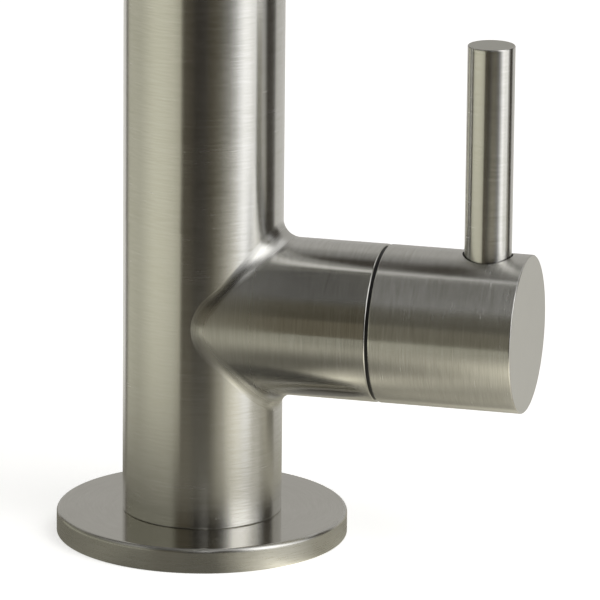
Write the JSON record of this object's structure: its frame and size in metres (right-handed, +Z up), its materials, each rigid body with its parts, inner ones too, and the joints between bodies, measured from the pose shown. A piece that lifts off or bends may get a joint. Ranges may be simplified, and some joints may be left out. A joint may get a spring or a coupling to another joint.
{
  "type": "pot filler",
  "caption": "Deck-mounted pot filler: round column with a side valve and pin lever, and a double-jointed swinging arm with a downward outlet.",
  "frame": {"origin": "on the column's axis, in the plane where the base flange rests on the worktop", "axes": "+Z up along the column, +X along the side valve towards its handle, -Y the front, where the arm points at rest"},
  "size_m": [0.1048, 0.575, 0.4612],
  "materials": {
    "brushed_stainless": "brushed round the axis, warm grey",
    "plain_steel": "machined, plain",
    "turned_brass": "turned",
    "black_rubber": "matt",
    "black_acetal": "moulded, satin",
    "alumina_ceramic": "lapped white ceramic"
  },
  "bodies": {
    "column": {"column_body": "brushed_stainless", "base_flange": "brushed_stainless", "flange_seal": "black_rubber", "threaded_shank": "plain_steel", "shank_seal": "black_rubber", "deck_washer": "black_rubber", "clamp_washer": "plain_steel", "lock_nut": "turned_brass", "inlet_nipple": "turned_brass", "inlet_seal": "black_rubber", "waterway_core": "turned_brass", "core_seals": "black_rubber", "cartridge_body": "turned_brass", "port_seal": "black_rubber", "fixed_disc": "alumina_ceramic", "cartridge_nut": "turned_brass", "glide_ring": "black_acetal", "swivel_stem": "turned_brass", "swivel_seals": "black_rubber", "swivel_ring": "black_acetal", "swivel_retainer": "turned_brass"},
    "handle": {"handle_cap": "brushed_stainless", "lever": "brushed_stainless", "handle_hub": "turned_brass", "spindle": "turned_brass", "moving_disc": "alumina_ceramic", "spindle_seals": "black_rubber"},
    "upper_arm": {"swivel_head": "brushed_stainless", "head_cap": "brushed_stainless", "head_cap_seal": "black_rubber", "upper_arm_tube": "brushed_stainless", "knuckle_upper": "brushed_stainless", "knuckle_cap": "brushed_stainless", "knuckle_cap_seal": "black_rubber", "knuckle_stem": "turned_brass", "knuckle_seals": "black_rubber", "knuckle_ring": "black_acetal", "knuckle_retainer": "turned_brass"},
    "lower_arm": {"knuckle_lower": "brushed_stainless", "knuckle_base": "brushed_stainless", "knuckle_base_seal": "black_rubber", "lower_arm_tube": "brushed_stainless", "outlet_body": "brushed_stainless", "aerator_seal": "black_rubber", "aerator_insert": "black_acetal", "aerator_housing": "brushed_stainless"}
  },
  "joints": [
    {"name": "handle_turn", "type": "hinge", "parent": "column", "child": "handle", "pos_m": [0.0571, 0, 0.0506], "axis": [1, 0, 0], "range_deg": [0, 90]},
    {"name": "arm_swivel", "type": "hinge", "parent": "column", "child": "upper_arm", "pos_m": [0, 0, 0.33065], "axis": [0, 0, 1], "continuous": true},
    {"name": "elbow_swivel", "type": "hinge", "parent": "upper_arm", "child": "lower_arm", "pos_m": [0, -0.29, 0.333], "axis": [0, 0, 1], "range_deg": [-180, 180]}
  ]
}
